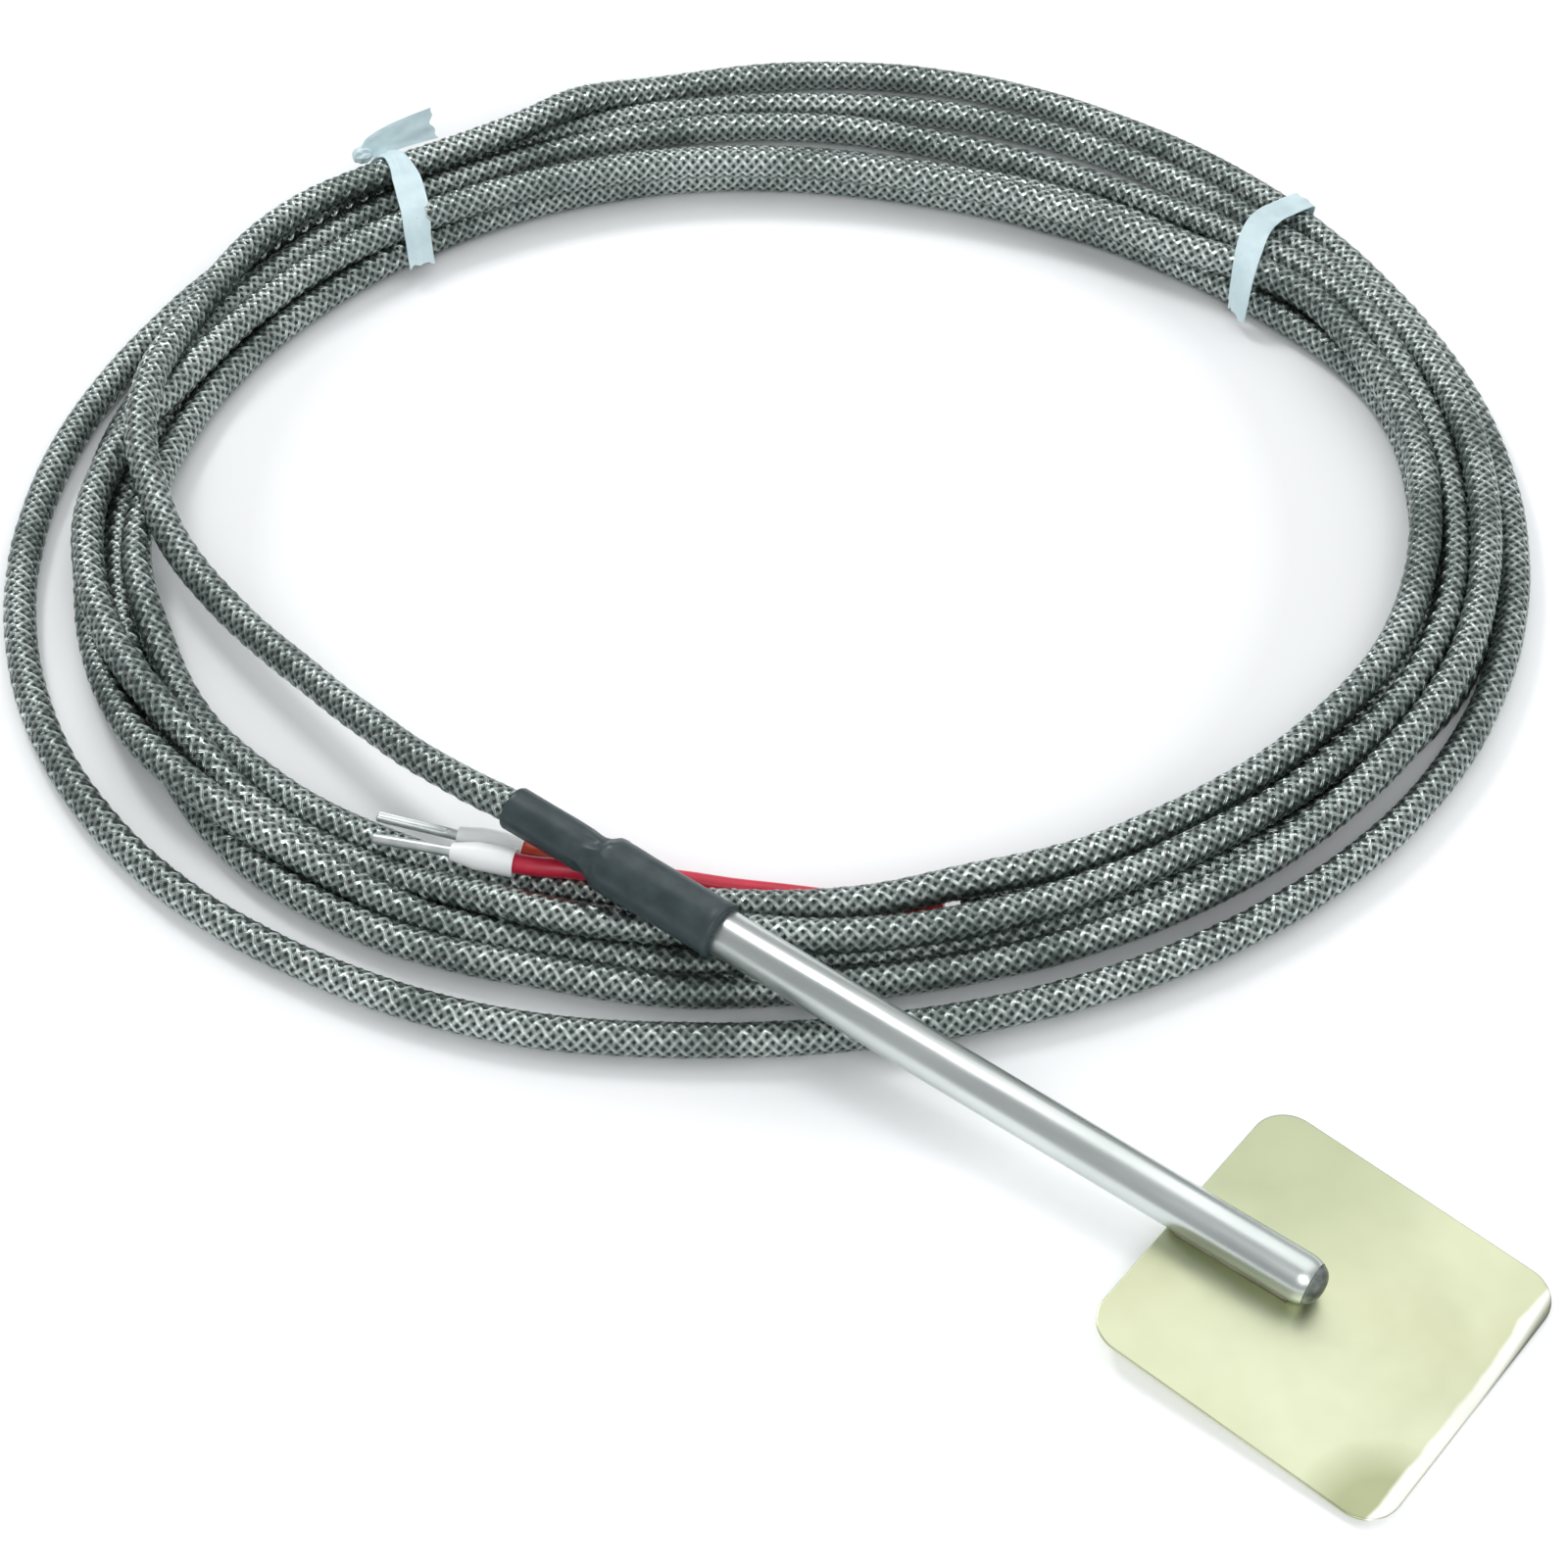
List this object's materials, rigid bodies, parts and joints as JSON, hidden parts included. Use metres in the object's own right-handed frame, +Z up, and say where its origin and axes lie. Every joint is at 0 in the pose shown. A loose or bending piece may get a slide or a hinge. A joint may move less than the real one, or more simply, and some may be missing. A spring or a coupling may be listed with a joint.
{
  "type": "thermocouple",
  "caption": "Surface thermocouple: square brass contact plate on a round steel sheath, shrink sleeve, coiled metal-braided cable and crimped lead ends.",
  "frame": {"origin": "centre of the contact plate's underside", "axes": "+X along the probe towards its tip, seen from above; +Z up from the table the part lies on, with the probe sloping 3.5 degrees because its rear end rests on the cable"},
  "size_m": [0.2435, 0.2015, 0.0152],
  "materials": {
    "plate_brass": "satin",
    "solder": "satin",
    "sheath_steel": "satin",
    "tip_weld": "matte",
    "bead_ceramic": "matte",
    "potting_cement": "matte",
    "sleeve_rubber": "matte",
    "cable_braid": "woven",
    "tie_film": "gloss",
    "collar_plastic": "satin",
    "pin_tin": "satin",
    "positive_alloy": "satin",
    "negative_alloy": "satin",
    "core_insulation": "woven",
    "positive_insulation": "satin",
    "negative_insulation": "satin"
  },
  "bodies": {
    "root": {"contact_plate": "plate_brass", "solder_joint": "solder", "sheath_tip": "tip_weld", "sheath_tube": "sheath_steel", "hot_junction": "tip_weld", "wire_positive": "positive_alloy", "wire_negative": "negative_alloy", "insulator_bead_1": "bead_ceramic", "insulator_bead_2": "bead_ceramic", "insulator_bead_3": "bead_ceramic", "insulator_bead_4": "bead_ceramic", "insulator_bead_5": "bead_ceramic", "splice_positive": "pin_tin", "splice_negative": "pin_tin", "core_positive": "core_insulation", "core_negative": "core_insulation", "potting_plug": "potting_cement", "heat_shrink_sleeve": "sleeve_rubber", "cable_lead_in": "cable_braid", "cable_coil": "cable_braid", "cable_outer_turn": "cable_braid", "lead_positive": "positive_insulation", "lead_negative": "negative_insulation", "ferrule_collar_positive": "collar_plastic", "ferrule_collar_negative": "collar_plastic", "ferrule_pin_positive": "pin_tin", "ferrule_pin_negative": "pin_tin", "tie_left": "tie_film", "tie_right": "tie_film"}
  },
  "joints": []
}
